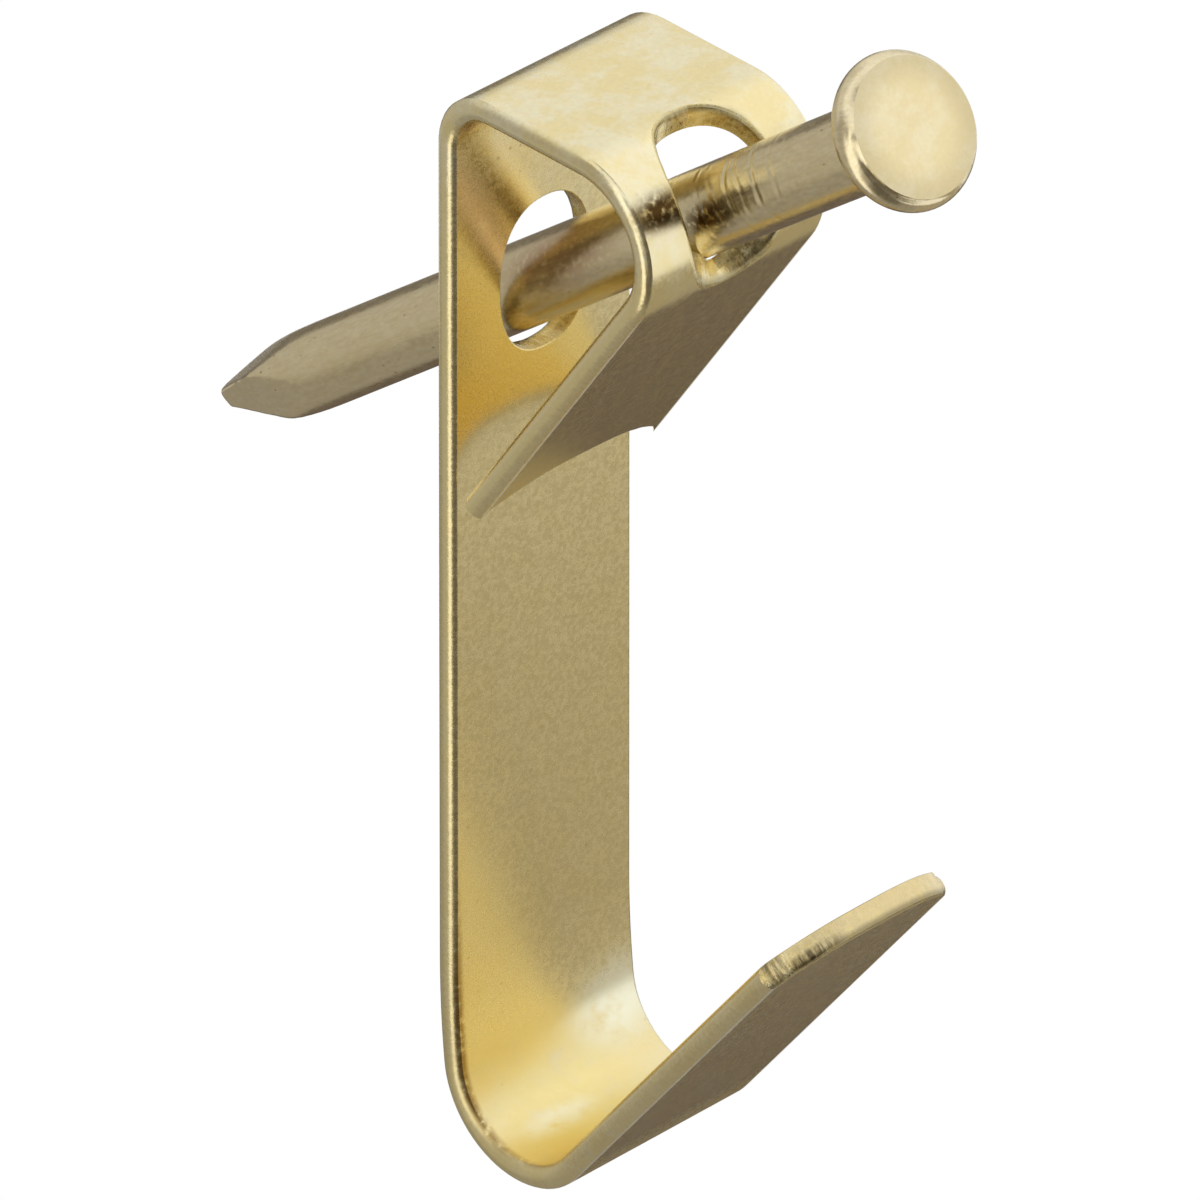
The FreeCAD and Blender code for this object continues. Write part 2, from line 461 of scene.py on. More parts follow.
# %% Draw the outline and spin it
heights = rows(0.004, 0.6, 0.03) + rows(0.6, point_length + 1, 0.13)
heights += rows(point_length + 1, grip_start, 1.0) + rows(grip_start, grip_end, 0.07)
heights += rows(grip_end, underside - neck_fillet[0][1], 0.5)
outline = [(0.0, 0.0)] + [(shank_radius(up), up) for up in heights]
outline += [(neck_radius + out, underside - down) for out, down in neck_fillet]
for step in range(2 * rim_steps + 1):
    off_middle = step / rim_steps - 1
    flare = flare_to_face if off_middle > 0 else flare_below
    outline.append((
        head_radius - head_rim_bulge * abs(off_middle) ** flare,
        underside + head_thickness / 2 * (1 + off_middle),
    ))
outline += [(face_radius * share, nail_length) for share in face_rings]
outline.append((0.0, nail_length))

bpy.ops.object.select_all(action="DESELECT")
bpy.ops.mesh.primitive_plane_add(size=1, location=(0, 0, 0))
nail = start_piece("nail_body")
bpy.ops.mesh.select_mode(type="VERT")
bpy.ops.mesh.select_all(action="SELECT")
bpy.ops.mesh.merge(type="CENTER")
for (radius, up), (next_radius, next_up) in zip(outline, outline[1:]):
    bpy.ops.mesh.extrude_region_move(
        TRANSFORM_OT_translate={"value": (next_radius - radius, 0, next_up - up)}
    )
bpy.ops.mesh.select_all(action="SELECT")
bpy.ops.mesh.spin(steps=nail_sides, angle=math.tau, center=(0, 0, 0), axis=(0, 0, 1))
bpy.ops.mesh.select_all(action="SELECT")
bpy.ops.mesh.remove_doubles(threshold=0.003)
bpy.ops.mesh.normals_make_consistent(inside=False)
print("nail has", len(bmesh.from_edit_mesh(nail.data).faces), "faces before its point is pressed")

# %% [markdown]
# The cut point
#
# Two pairs of dies pinch the wire off into a blunt four-sided point that isn't quite in the middle. Bisect
# planes would leave it with knife edges, but on the real nail the tumbling barrel has rounded them, most of
# all at the tip. So each ring of points is pressed to the four sides by a soft minimum, which is softer at
# the tip than above it.

# %% Press the point
point_flat = 0.82
point_offset = 0.36
point_turn = math.radians(20)
round_at_tip, sharp_above, sharp_height = 3.0, 18.0, 3.0
tip_reach = 0.25
dome_height = 0.4
dome_fullness = 2.1


def pinch(place):
    """Presses a point of the shank to the four sides of the cut point and to its rounded tip."""
    radius = math.hypot(place.x, place.y)
    if place.z > point_length + 1 or radius < 0.001:
        return Vector((0, point_offset, -tip_reach)) if place.z < 0.001 else place
    around = math.atan2(place.y, place.x)
    up = place.z - tip_reach * max(0.0, 1 - place.z / point_length)
    share = up / point_length
    softness = round_at_tip + (sharp_above - round_at_tip) * min(1.0, place.z / sharp_height) ** 1.5
    closeness = nail_radius**-softness
    for quarter in range(4):
        facing = point_turn + quarter * math.pi / 2
        towards = math.cos(around - facing)
        if towards > 0.05:
            at_tip = point_flat / 2 + point_offset * math.sin(facing)
            side = (at_tip + (nail_radius - at_tip) * share) / towards
            closeness += side**-softness
    pressed = closeness ** (-1 / softness)
    middle = Vector((0, point_offset * max(0.0, 1 - share), up))
    corner = Vector((math.cos(around) * pressed, math.sin(around) * pressed, up))
    dome = (1 - max(0.0, 1 - place.z / dome_height) ** dome_fullness) ** (1 / dome_fullness)
    return middle.lerp(corner, dome)


press(pinch)
tip_width = 2 * max(vert.co.x for vert in bmesh.from_edit_mesh(nail.data).verts if vert.co.z < 0.6)
print("tip is", round(tip_width, 2), "mm wide at the end of its round")

# %% [markdown]
# Grip marks and the head's burr
#
# A nail is held in ribbed grips while its head is struck. The grips bite rows of shallow grooves into the
# two sides, just below the head. The blow pushes the coin's face out over its rim on one side, with a crease
# under it and two bright chips beside it. All are small moves of single points, pressed in by formula.

# %% Press in the grip marks
groove_places = (11.9, 13.0, 13.9, 14.8, 15.6, 16.9, 17.5, 18.7, 20.0, 21.2, 22.3)
groove_depths = (0.02, 0.026, 0.018, 0.03, 0.022, 0.036, 0.026, 0.03, 0.018, 0.012, 0.01)
groove_half_width = 0.15


def bite(place):
    """Presses the grooves into the sides of the shank, each one bent and broken up a little."""
    radius = math.hypot(place.x, place.y)
    if not grip_start - 0.5 < place.z < grip_end + 0.5 or radius < 0.5:
        return place
    side = min(1.0, max(0.0, 0.85 * abs(place.x) + 0.5 * place.y) / radius)
    change = 0.0
    for place_along, depth in zip(groove_places, groove_depths):
        bend = 0.5 * noise.noise(Vector((place.y * 0.7, place_along, 0))) - 0.12 * place.y**2
        break_up = 0.6 + 0.8 * noise.noise(Vector((place.y * 2.1, place_along * 3, 4)))
        off = (place.z - free_length - place_along - bend) / groove_half_width
        ridge = 0.5 * math.exp(-((abs(off) - 1.4) ** 2) * 2) - math.exp(-(off**2))
        change += depth * side * break_up * ridge
    scale = (radius + change) / radius
    return Vector((place.x * scale, place.y * scale, place.z))


press(bite)
print(len(groove_places), "grip marks from", round(grip_start, 1), "to", round(grip_end, 1), "mm above the tip")

# %% Crease the head's rim
crease_side = Vector((-0.686, -0.727))
chips = ((Vector((-0.964, 0.267)), 0.06), (Vector((-0.994, -0.109)), 0.07))
edge_push, edge_height = 0.03, 0.04
crease_depth, crease_down, crease_height = 0.09, 0.13, 0.07
chip_width, chip_down, chip_height = 0.16, 0.16, 0.12


def strike(place):
    """Pushes the face's edge out over a crease on one side, and raises two chips on the rim."""
    radius = math.hypot(place.x, place.y)
    if place.z < underside + 0.5 or radius < face_radius - 0.2:
        return place
    facing = Vector((place.x, place.y)) / radius
    below_face = nail_length - place.z
    share = min(1.0, max(0.0, (facing.dot(crease_side) - 0.55) / 0.3))
    rough = 1 + 0.6 * noise.noise(Vector((place.x * 2.5, place.y * 2.5, 0)))
    edge = edge_push * math.exp(-((below_face / edge_height) ** 2))
    crease = crease_depth * math.exp(-(((below_face - crease_down) / crease_height) ** 2))
    change = share * rough * (edge - crease)
    for chip_side, height in chips:
        off = (facing - chip_side).length * radius
        down = (below_face - chip_down) / chip_height
        change += height * math.exp(-((off / chip_width) ** 2) - down**2)
    return Vector((*(facing * (radius + change)), place.z))


press(strike)
bpy.ops.object.mode_set(mode="OBJECT")
drawn_place = nail.data.attributes.new("flat", "FLOAT_VECTOR", "POINT")
for point in nail.data.vertices:
    drawn_place.data[point.index].vector = point.co
bpy.ops.object.mode_set(mode="EDIT")
print(len(chips), "chips and a crease on the head")

# %% [markdown]
# Setting the nail in the strip
#
# The nail slopes down into the wall, and its axis leaves the strip's back at the frame's origin. So it is
# turned about the X axis and slid along itself until the wall face crosses it at the right length.

# %% Turn and place the nail
nail_slope = 37.49
tilt = Matrix.Rotation(math.radians(90 - nail_slope), 3, "X")
tip = tilt @ Vector((0, 0, -free_length))
press(lambda place: tilt @ place + tip)
nail.data.materials.clear()
for finish in ("drawn_brass", "struck_brass"):
    nail.data.materials.append(bpy.data.materials.new(finish))
    nail.data.materials[finish].use_nodes = True
out_of_wall = tilt @ Vector((0, 0, 1))
face_level = nail_length - free_length - 0.02
struck = pick("faces", lambda face: face.calc_center_median().dot(out_of_wall) > face_level)
nail.active_material_index = 1
bpy.ops.object.material_slot_assign()
print(struck, "faces on the struck face of the head")
finish_piece(nail, 35)

for piece, node, slot in ((strip, "hook_strip", "strip_brass"), (nail, "nail", "nail_brass")):
    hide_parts(node)
    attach(piece, "root")
    low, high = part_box(node)
    corners = [Vector(corner) for corner in piece.bound_box]
    print(piece.name, "CAD size", high - low, "piece size", corners[6] - corners[0])

# %% [markdown]
# Brass that has been handled
#
# The plating is satin, not a mirror: it has a fine grain, paler and yellower blotches, and small brown
# specks. Strip and nail share these, so they are one node group that gives a mask for each. The pattern
# follows the metal through its folds, because it reads the flat place that was kept on each point.

# %% Helpers for nodes
def add(tree, kind, **settings):
    """Adds a node and sets its properties and, by their names, its inputs."""
    node = tree.nodes.new(kind)
    for name, value in settings.items():
        if hasattr(node, name):
            setattr(node, name, value)
        else:
            node.inputs[name.replace("_", " ")].default_value = value
    return node


def join(tree, *pairs):
    """Links sockets, given as (node, output name, node, input name)."""
    for source, output, target, target_input in pairs:
        tree.links.new(source.outputs[output], target.inputs[target_input])


def ramp(tree, low, high, start=0.0, end=1.0):
    """A map range that goes smoothly from one value at low to another at high."""
    node = add(tree, "ShaderNodeMapRange", interpolation_type="SMOOTHSTEP")
    for socket, value in zip(("From Min", "From Max", "To Min", "To Max"), (low, high, start, end)):
        node.inputs[socket].default_value = value
    return node


def times(tree, first, first_output, second, second_output):
    """Multiplies two masks and returns the node."""
    node = add(tree, "ShaderNodeMath", operation="MULTIPLY", use_clamp=True)
    join(tree, (first, first_output, node, 0), (second, second_output, node, 1))
    return node


def patch(tree, place, middle, size):
    """A soft spot on the metal: 1 round its middle on the flat place, and 0 outside its size."""
    away = add(tree, "ShaderNodeVectorMath", operation="SUBTRACT")
    away.inputs[1].default_value = middle
    shrunk = add(tree, "ShaderNodeVectorMath", operation="DIVIDE")
    shrunk.inputs[1].default_value = size
    reach = add(tree, "ShaderNodeVectorMath", operation="LENGTH")
    spot = ramp(tree, 0.25, 1.0, 1.0, 0.0)
    join(
        tree,
        (place, "Vector", away, 0),
        (away, "Vector", shrunk, 0),
        (shrunk, "Vector", reach, 0),
        (reach, "Value", spot, "Value"),
    )
    return spot


# %% The shared surface group
surface = bpy.data.node_groups.new("brass_surface", "ShaderNodeTree")
surface.interface.new_socket("Place", in_out="INPUT", socket_type="NodeSocketVector")
scale_names = ("Blotch scale", "Speck scale", "Grain scale")
for scale_name in scale_names:
    surface.interface.new_socket(scale_name, in_out="INPUT", socket_type="NodeSocketFloat")
for output in ("Blotches", "Specks", "Grain"):
    surface.interface.new_socket(output, in_out="OUTPUT", socket_type="NodeSocketFloat")
group_in = add(surface, "NodeGroupInput")
group_out = add(surface, "NodeGroupOutput")

blotch = add(surface, "ShaderNodeTexNoise", Detail=6.0, Roughness=0.66)
blotch_ramp = ramp(surface, 0.40, 0.62)
speck = add(surface, "ShaderNodeTexVoronoi", Randomness=1.0)
speck_dot = ramp(surface, 0.03, 0.2, 1.0, 0.0)
speck_colour = add(surface, "ShaderNodeSeparateColor")
speck_kept = ramp(surface, 0.68, 0.9)
grain = add(surface, "ShaderNodeTexNoise", Detail=3.0, Roughness=0.6)
join(
    surface,
    (group_in, "Place", blotch, "Vector"),
    (group_in, "Blotch scale", blotch, "Scale"),
    (blotch, "Fac", blotch_ramp, "Value"),
    (blotch_ramp, "Result", group_out, "Blotches"),
    (group_in, "Place", speck, "Vector"),
    (group_in, "Speck scale", speck, "Scale"),
    (speck, "Distance", speck_dot, "Value"),
    (speck, "Color", speck_colour, "Color"),
    (speck_colour, "Red", speck_kept, "Value"),
    (group_in, "Place", grain, "Vector"),
    (group_in, "Grain scale", grain, "Scale"),
    (grain, "Fac", group_out, "Grain"),
)
specks = times(surface, speck_dot, "Result", speck_kept, "Result")
join(surface, (specks, "Value", group_out, "Specks"))
print("surface group gives", [socket.name for socket in group_out.inputs if socket.name])

# %% [markdown]
# The strip's finish
#
# Base colours are the metal's own reflectance, apart from the painted light noted below, so amber inside the
# loop comes by itself from light that bounces twice. The plating is even on the long back, and blotched pale
# and yellow where the strip was bent and along its top. The pale blotches are partly a painted highlight,
# strongest where the brightest reflections fall. A colour ramp along the blank says how strong the blotches
# are.

# %% A metal on the shared group
brown_speck = (0.42, 0.27, 0.11, 1)
# Painted dark reflection, laid on the front bend and on the nail beside the front hole.
painted_dark_reflection = (0.13, 0.08, 0.033, 1)
grain_height = 0.02 * MILLIMETRE


def metal(name, tones, scales, roughness, grain_bump, mottling):
    """Makes a brass finish with two tones on the shared group, and returns its tree and the nodes to refine."""
    tree = bpy.data.materials[name].node_tree
    shader = tree.nodes["Principled BSDF"]
    shader.inputs["Metallic"].default_value = 1.0
    place = add(tree, "ShaderNodeAttribute", attribute_name="flat")
    group = add(tree, "ShaderNodeGroup", node_tree=surface)
    for socket, scale in zip(scale_names, scales):
        group.inputs[socket].default_value = scale
    tint = add(tree, "ShaderNodeMix", data_type="RGBA")
    tint.inputs[6].default_value, tint.inputs[7].default_value = tones
    mottled = add(tree, "ShaderNodeHueSaturation")
    mottle = ramp(tree, 0.3, 0.7, 1 - mottling, 1 + mottling)
    spotted = add(tree, "ShaderNodeMix", data_type="RGBA")
    spotted.inputs[7].default_value = brown_speck
    rough = ramp(tree, 0.35, 0.65, *roughness)
    bump = add(tree, "ShaderNodeBump", Strength=grain_bump, Distance=grain_height)
    join(
        tree,
        (place, "Vector", group, "Place"),
        (group, "Blotches", tint, 0),
        (group, "Grain", mottle, "Value"),
        (mottle, "Result", mottled, "Value"),
        (tint, 2, mottled, "Color"),
        (mottled, "Color", spotted, 6),
        (group, "Specks", spotted, 0),
        (spotted, 2, shader, "Base Color"),
        (group, "Grain", rough, "Value"),
        (rough, "Result", shader, "Roughness"),
        (group, "Grain", bump, "Height"),
        (bump, "Normal", shader, "Normal"),
    )
    return tree, place, group, tint, spotted, bump


def lay_colour_patch(tree, place, middle, size, source, source_output, colour, fineness=3.4):
    """Lays a broken patch of colour over the base colour, for a stain or for painted light, and returns the
    mixed colour's node.
    """
    spot = patch(tree, place, middle, size)
    broken = add(tree, "ShaderNodeTexNoise", Scale=fineness, Detail=4.0, Roughness=0.55)
    broken_mask = ramp(tree, 0.24, 0.54)
    join(tree, (place, "Vector", broken, "Vector"), (broken, "Fac", broken_mask, "Value"))
    patch_mask = times(tree, spot, "Result", broken_mask, "Result")
    mixed = add(tree, "ShaderNodeMix", data_type="RGBA")
    mixed.inputs[7].default_value = colour
    join(
        tree,
        (patch_mask, "Value", mixed, 0),
        (source, source_output, mixed, 6),
        (mixed, 2, tree.nodes["Principled BSDF"], "Base Color"),
    )
    return mixed


# %% Finish the rolled faces
tree, place, group, tint, spotted, bump = metal(
    "rolled_brass",
    tones=((0.86, 0.735, 0.405, 1), (0.875, 0.81, 0.575, 1)),
    scales=(0.55, 1.7, 5.0),
    roughness=(0.2, 0.27),
    grain_bump=1.0,
    mottling=0.03,
)
# Columns: place along the blank, strength of the pale blotches (partly a painted highlight), of the brown
# specks, and dullness.
pale_and_highlit_stretches = (
    (0.0, 0.45, 0.2, 0.0),
    (chain["hook bend"][0] - 2, 0.5, 0.2, 0.0),
    (chain["hook bend"][0] + 1, 0.35, 0.5, 0.55),
    (chain["lead-in"][0] - 1, 0.35, 0.5, 0.5),
    (chain["lead-in"][0] + 2, 0.15, 0.3, 0.15),
    (chain["fold"][0] - 9, 0.12, 0.2, 0.05),
    (chain["fold"][0] - 2, 0.4, 0.6, 0.1),
    (chain["fold"][0] + 2, 1.0, 0.5, 0.1),
    (chain["top"][0] + 1, 0.9, 0.15, 0.0),
    (chain["flap"][0] - 3, 0.8, 0.15, 0.0),
    (chain["flap"][0] + 1, 0.15, 0.2, 0.0),
)
axes = add(tree, "ShaderNodeSeparateXYZ")
share_along = add(tree, "ShaderNodeMath", operation="DIVIDE")
share_along.inputs[1].default_value = blank_length
pale_and_highlit_ramp = add(tree, "ShaderNodeValToRGB")
while len(pale_and_highlit_ramp.color_ramp.elements) < len(pale_and_highlit_stretches):
    pale_and_highlit_ramp.color_ramp.elements.new(1.0)
for stop, (along, pale_and_highlit, speckling, dullness) in zip(pale_and_highlit_ramp.color_ramp.elements, pale_and_highlit_stretches):
    stop.position = along / blank_length
    stop.color = (pale_and_highlit, speckling, dullness, 1)
strengths = add(tree, "ShaderNodeSeparateColor")
join(
    tree,
    (place, "Vector", axes, "Vector"),
    (axes, "Y", share_along, 0),
    (share_along, "Value", pale_and_highlit_ramp, "Fac"),
    (pale_and_highlit_ramp, "Color", strengths, "Color"),
)
pale_and_highlit_blotches = times(tree, group, "Blotches", strengths, "Red")
speckled = times(tree, group, "Specks", strengths, "Green")
join(tree, (pale_and_highlit_blotches, "Value", tint, 0), (speckled, "Value", spotted, 0))
print("haze has", len(pale_and_highlit_ramp.color_ramp.elements), "stops along the blank")

# %% [markdown]
# Coarse edges and a painted highlight on the outer corners
#
# The long edges are coarser than the faces, like fine beads, so the grain is lifted there. Along the corner
# between each edge and the outer face of the lip and the flap, a pale line is painted in as a highlight.
# Distance from the strip's middle line finds it. The hook bend is also duller than the rest, which softens
# what it mirrors.

# %% Coarsen the long edges
from_middle = add(tree, "ShaderNodeMath", operation="ABSOLUTE")
at_edge = ramp(tree, half_width - 0.34, half_width - 0.24, 0.06, 0.5)
coarse = add(tree, "ShaderNodeMath", operation="MULTIPLY")
join(
    tree,
    (axes, "X", from_middle, 0),
    (from_middle, "Value", at_edge, "Value"),
    (group, "Grain", coarse, 0),
    (at_edge, "Result", coarse, 1),
    (coarse, "Value", bump, "Height"),
)
print("grain lifts from", round(half_width - 0.34, 2), "mm off the middle line")

# %% Paint a highlight on the outer corners and dull the hook bend
# Painted highlight: a pale line along the corner between each long edge and the outer face of the lip and the
# flap.
painted_highlight_colour = (0.93, 0.90, 0.82, 1)
corner_near = ramp(tree, half_width - 0.42, half_width - 0.32)
corner_far = ramp(tree, half_width - 0.29, half_width - 0.23, 1.0, 0.0)
outer_side = ramp(tree, -0.47, -0.41, 1.0, 0.0)
on_lip = ramp(tree, chain["hook bend"][0] + 3, chain["hook bend"][0] + 6, 1.0, 0.0)
on_flap = ramp(tree, chain["flap"][0] - 1, chain["flap"][0] + 1)
lip_and_flap = add(tree, "ShaderNodeMath", operation="ADD")
join(
    tree,
    (from_middle, "Value", corner_near, "Value"),
    (from_middle, "Value", corner_far, "Value"),
    (axes, "Z", outer_side, "Value"),
    (axes, "Y", on_lip, "Value"),
    (axes, "Y", on_flap, "Value"),
    (on_lip, "Result", lip_and_flap, 0),
    (on_flap, "Result", lip_and_flap, 1),
)
corner_line = times(tree, corner_near, "Result", corner_far, "Result")
outer_line = times(tree, corner_line, "Value", outer_side, "Result")
painted_corner_highlight = times(tree, outer_line, "Value", lip_and_flap, "Value")
# The painted corner highlight is mixed over the colour here, and that line is made a little rougher.
corner_highlight_tint = add(tree, "ShaderNodeMix", data_type="RGBA")
corner_highlight_tint.inputs[7].default_value = painted_highlight_colour
corner_highlight_rough = add(tree, "ShaderNodeMath", operation="MULTIPLY_ADD", use_clamp=True)
corner_highlight_rough.inputs[1].default_value = 0.35
dull_rough = add(tree, "ShaderNodeMath", operation="MULTIPLY_ADD", use_clamp=True)
dull_rough.inputs[1].default_value = 0.22
shader = tree.nodes["Principled BSDF"]
join(
    tree,
    (painted_corner_highlight, "Value", corner_highlight_tint, 0),
    (spotted, 2, corner_highlight_tint, 6),
    (painted_corner_highlight, "Value", corner_highlight_rough, 0),
    (shader.inputs["Roughness"].links[0].from_node, "Result", corner_highlight_rough, 2),
    (strengths, "Blue", dull_rough, 0),
    (corner_highlight_rough, "Value", dull_rough, 2),
    (dull_rough, "Value", shader, "Roughness"),
)
print("rolled finish has", len(tree.nodes), "nodes before its stains")

# %% [markdown]
# Stains, painted highlights and a painted reflection
#
# Some patches don't repeat anywhere: the yellow inside of the hook with two pale spots that are painted
# highlights, brown specks along its left edge, the brown corner of the fold, and a dark patch on the front
# bend beside the nail, which is a painted dark reflection. Each one is laid over the last at its place on the
# blank.

# %% Stain the strip, with painted highlights and a painted reflection
colour_patches = (
    ((-1.0, chain["hook bend"][0] + 4.5, half_thickness), (6.5, 7.5, 0.9), (0.90, 0.76, 0.36, 1), 0.9),
    # This and the next are painted highlights: pale spots inside the hook.
    ((3.5, chain["lead-in"][0] - 0.6, half_thickness), (3.2, 2.8, 0.9), (0.94, 0.91, 0.69, 1), 0.9),
    ((-1.6, chain["hook bend"][0] + 4.2, half_thickness), (2.6, 1.1, 0.9), (0.94, 0.88, 0.62, 1), 1.2),
    ((-4.7, chain["lead-in"][0] + 0.5, half_thickness), (0.42, 10.0, 0.26), (0.40, 0.27, 0.10, 1), 2.6),
    ((-4.2, chain["fold"][0] + 1.5, half_thickness), (0.9, 1.0, 0.3), (0.44, 0.27, 0.10, 1), 3.4),
    # Painted dark reflection on the front bend, beside the nail.
    ((-3.5, chain["front bend"][0] + 3.35, -half_thickness), (2.3, 0.95, 0.5), painted_dark_reflection, 3.4),
)
colour = corner_highlight_tint
for middle, size, patch_colour, fineness in colour_patches:
    colour = lay_colour_patch(tree, place, middle, size, colour, 2, patch_colour, fineness)
print(len(colour_patches), "stains on the strip")

# %% [markdown]
# Sheared walls
#
# On the walls of the holes and on the cut ends, fine lines run straight through the thickness, because the
# tool dragged them there. So this pattern hardly changes with depth. Towards the outer face the metal broke
# instead, and that band is darker. The lip's end is duller than the other walls, its left corner is crumpled,
# and in four places the metal tore and left dark lines.

# %% Drag lines through the walls
tree, place, group, tint, spotted, bump = metal(
    "sheared_brass",
    tones=((0.83, 0.67, 0.30, 1), (0.89, 0.79, 0.47, 1)),
    scales=(1.6, 2.2, 4.0),
    roughness=(0.22, 0.36),
    grain_bump=1.0,
    mottling=0.08,
)
through = add(tree, "ShaderNodeMapping")
through.inputs["Scale"].default_value = (1, 1, 0.12)
lines = add(tree, "ShaderNodeTexNoise", Scale=4.5, Detail=4.0, Roughness=0.7)
line_mask = ramp(tree, 0.40, 0.62)
join(
    tree,
    (place, "Vector", through, "Vector"),
    (through, "Vector", lines, "Vector"),
    (lines, "Fac", line_mask, "Value"),
)
print("sheared finish has", len(tree.nodes), "nodes with its drag lines")

# %% Dull the lip's end, crumple its corner and darken the break
lip_end_film = (0.72, 0.59, 0.32, 1)
dulled = lay_colour_patch(tree, place, (1.0, -1.4, 0.2), (8.0, 3.4, 1.8), spotted, 2, lip_end_film, 1.5)
crumpled = patch(tree, place, (-4.3, -0.35, 0.0), (1.1, 1.0, 0.9))
ridges = add(tree, "ShaderNodeMath", operation="MULTIPLY_ADD")
ridges.inputs[1].default_value = 9.0
ridges.inputs[2].default_value = 1.0
ridged = add(tree, "ShaderNodeMath", operation="MULTIPLY")
depth = add(tree, "ShaderNodeSeparateXYZ")
break_band = ramp(tree, -0.42, -0.12, 0.5, 1.02)
rolled_band = ramp(tree, -0.5, -0.43, 0.85, 0.5)
band = add(tree, "ShaderNodeMath", operation="MAXIMUM")
banded = add(tree, "ShaderNodeHueSaturation")
join(
    tree,
    (crumpled, "Result", ridges, 0),
    (ridges, "Value", ridged, 0),
    (lines, "Fac", ridged, 1),
    (ridged, "Value", bump, "Height"),
    (place, "Vector", depth, "Vector"),
    (depth, "Z", break_band, "Value"),
    (depth, "Z", rolled_band, "Value"),
    (break_band, "Result", band, 0),
    (rolled_band, "Result", band, 1),
    (band, "Value", banded, "Value"),
    (dulled, 2, banded, "Color"),
)
print("sheared finish has", len(tree.nodes), "nodes with its dark band")

# %% Tear the metal
front_top = holes["front"][0].y - holes["front"][1].y
front_bottom = holes["front"][0].y + holes["front"][1].y
tears = (
    ((-4.4, -0.4, 0.05), (0.8, 0.9, 0.9), 0.85, (0.20, 0.15, 0.07, 1)),
    ((-3.0, -1.1, -0.22), (2.0, 1.4, 0.40), 0.9, (0.10, 0.07, 0.04, 1)),
    ((1.3, front_bottom - 0.3, 0.0), (1.4, 1.4, 0.8), 0.85, (0.22, 0.145, 0.06, 1)),
    ((0.0, front_top + 0.2, -0.34), (2.2, 1.2, 0.2), 0.6, (0.33, 0.22, 0.10, 1)),
)
colour, output = banded, "Color"
for middle, size, strength, torn_colour in tears:
    spot = patch(tree, place, middle, size)
    torn = times(tree, spot, "Result", line_mask, "Result")
    weaker = add(tree, "ShaderNodeMath", operation="MULTIPLY")
    weaker.inputs[1].default_value = strength
    torn_tint = add(tree, "ShaderNodeMix", data_type="RGBA")
    torn_tint.inputs[7].default_value = torn_colour
    join(
        tree,
        (torn, "Value", weaker, 0),
        (weaker, "Value", torn_tint, 0),
        (colour, output, torn_tint, 6),
        (torn_tint, 2, tree.nodes["Principled BSDF"], "Base Color"),
    )
    colour, output = torn_tint, 2
print(len(tears), "torn places on the walls")

# %% [markdown]
# The nail's finish
#
# The nail is drawn wire, so it has streaks and stretched pits along its length, and it is greyer than the
# strip. The streaks are noise that is stretched along the nail, and they lift the surface a little as well
# as tint it. Inside the loop it gets a warm, darker colour as painted shade, and beside the front hole a dark
# patch as a painted dark reflection. The struck face of the head is smoother and warmer, and painted darker
# towards its edge as shade.

# %% Finish the nail
tree, place, group, tint, spotted, bump = metal(
    "drawn_brass",
    tones=((0.82, 0.70, 0.435, 1), (0.875, 0.775, 0.53, 1)),
    scales=(0.7, 3.4, 5.0),
    roughness=(0.19, 0.27),
    grain_bump=0.3,
    mottling=0.045,
)
along_nail = add(tree, "ShaderNodeMapping")
along_nail.inputs["Scale"].default_value = (1, 1, 0.16)
stretched = add(tree, "ShaderNodeMapping")
stretched.inputs["Scale"].default_value = (1, 1, 0.45)
streaks = add(tree, "ShaderNodeTexNoise", Scale=4.5, Detail=6.0, Roughness=0.75)
streak_mask = ramp(tree, 0.34, 0.66)
both = add(tree, "ShaderNodeMath", operation="ADD")
join(
    tree,
    (place, "Vector", along_nail, "Vector"),
    (place, "Vector", stretched, "Vector"),
    (stretched, "Vector", group, "Place"),
    (along_nail, "Vector", streaks, "Vector"),
    (streaks, "Fac", streak_mask, "Value"),
    (streak_mask, "Result", tint, 0),
    (streaks, "Fac", both, 0),
    (group, "Grain", both, 1),
    (both, "Value", bump, "Height"),
)
# Painted shade: a warm, darker colour on the nail inside the loop.
painted_loop_shade = (0.60, 0.43, 0.28, 1)
inside_loop = lay_colour_patch(tree, place, (-1.4, 0.5, free_length + 4.7), (2.0, 1.6, 5.5), spotted, 2, painted_loop_shade)
# Painted dark reflection on the nail, beside the front hole.
lay_colour_patch(tree, place, (-1.7, -0.15, free_length + 15.2), (1.3, 1.0, 2.6), inside_loop, 2, painted_dark_reflection)
print("drawn finish has", len(tree.nodes), "nodes")

# %% Finish the head's face
tree, place, group, tint, spotted, bump = metal(
    "struck_brass",
    tones=((0.85, 0.715, 0.41, 1), (0.885, 0.775, 0.50, 1)),
    scales=(0.6, 0.5, 6.0),
    roughness=(0.2, 0.27),
    grain_bump=0.15,
    mottling=0.02,
)
flat_across = add(tree, "ShaderNodeVectorMath", operation="MULTIPLY")
flat_across.inputs[1].default_value = (1, 1, 0)
from_axis = add(tree, "ShaderNodeVectorMath", operation="LENGTH")
# Painted shade: the face's colour darkens from 1.4 mm off the axis out to its edge.
to_edge = ramp(tree, 1.4, face_radius, 1.0, 0.8)
shaded = add(tree, "ShaderNodeHueSaturation")
join(
    tree,
    (place, "Vector", flat_across, 0),
    (flat_across, "Vector", from_axis, 0),
    (from_axis, "Value", to_edge, "Value"),
    (to_edge, "Result", shaded, "Value"),
    (spotted, 2, shaded, "Color"),
    (shaded, "Color", tree.nodes["Principled BSDF"], "Base Color"),
)
print("finishes", [material.name for material in bpy.data.materials if material.name.endswith("_brass")])

